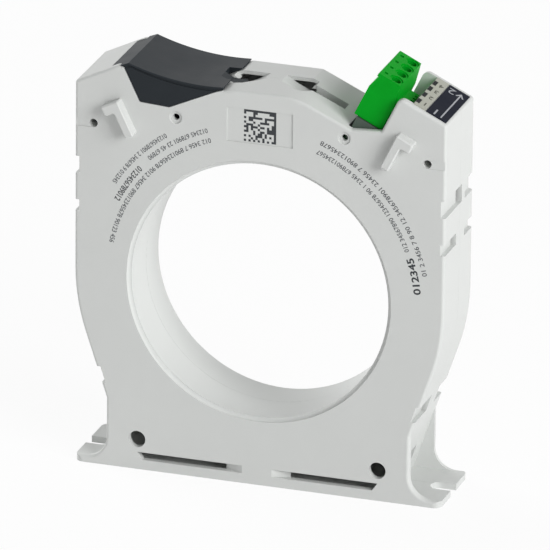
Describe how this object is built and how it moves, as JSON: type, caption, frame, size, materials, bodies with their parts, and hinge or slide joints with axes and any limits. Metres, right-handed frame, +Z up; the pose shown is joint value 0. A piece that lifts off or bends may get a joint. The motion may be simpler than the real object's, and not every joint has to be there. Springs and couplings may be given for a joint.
{
  "type": "toroidal zero-sequence current transformer",
  "caption": "Zero-sequence current transformer: a ring core in a moulded two-shell housing on feet, with a pull-off screw terminal plug.",
  "frame": {"origin": "centre of the mounting face under the feet, at mid-depth of the housing", "axes": "+X across the front to the terminal plug's side, +Y from the front to the rear along the bore, +Z up"},
  "size_m": [0.115, 0.0305, 0.1339],
  "materials": {
    "housing_plastic": "fine spark-eroded texture",
    "cover_plastic": "satin moulded",
    "plug_plastic": "moulded",
    "header_plastic": "moulded",
    "nickel_brass": "nickel plated",
    "zinc_steel": "zinc plated",
    "board_laminate": "solder mask",
    "core_strip": "wound strip",
    "case_plastic": "moulded",
    "winding_copper": "enamelled",
    "tape_film": "polyester film",
    "cushion_foam": "closed-cell foam",
    "lead_insulation": "smooth",
    "label_cream": "printed film",
    "label_navy": "printed film"
  },
  "bodies": {
    "housing": {"front_shell": "housing_plastic", "rear_shell": "housing_plastic", "chamber_cover": "cover_plastic", "pin_header": "header_plastic", "circuit_board": "board_laminate", "ring_core": "core_strip", "core_trough": "case_plastic", "core_lid": "case_plastic", "secondary_winding": "winding_copper", "winding_tape": "tape_film", "cushion_front": "cushion_foam", "cushion_rear": "cushion_foam", "lead_wire_1": "lead_insulation", "lead_wire_2": "lead_insulation", "terminal_marking": "label_cream", "direction_label": "label_navy", "header_pin_1": "nickel_brass", "header_pin_2": "nickel_brass", "header_pin_3": "nickel_brass", "header_pin_4": "nickel_brass"},
    "plug": {"terminal_plug": "plug_plastic", "clamp_screw_1": "zinc_steel", "wire_clamp_1": "zinc_steel", "plug_contact_1": "nickel_brass", "clamp_screw_2": "zinc_steel", "wire_clamp_2": "zinc_steel", "plug_contact_2": "nickel_brass", "clamp_screw_3": "zinc_steel", "wire_clamp_3": "zinc_steel", "plug_contact_3": "nickel_brass", "clamp_screw_4": "zinc_steel", "wire_clamp_4": "zinc_steel", "plug_contact_4": "nickel_brass"}
  },
  "joints": [
    {"name": "plug_pull", "type": "slide", "parent": "housing", "child": "plug", "axis": [0.4384, 0, 0.8988], "range_m": [0, 0.012]}
  ]
}
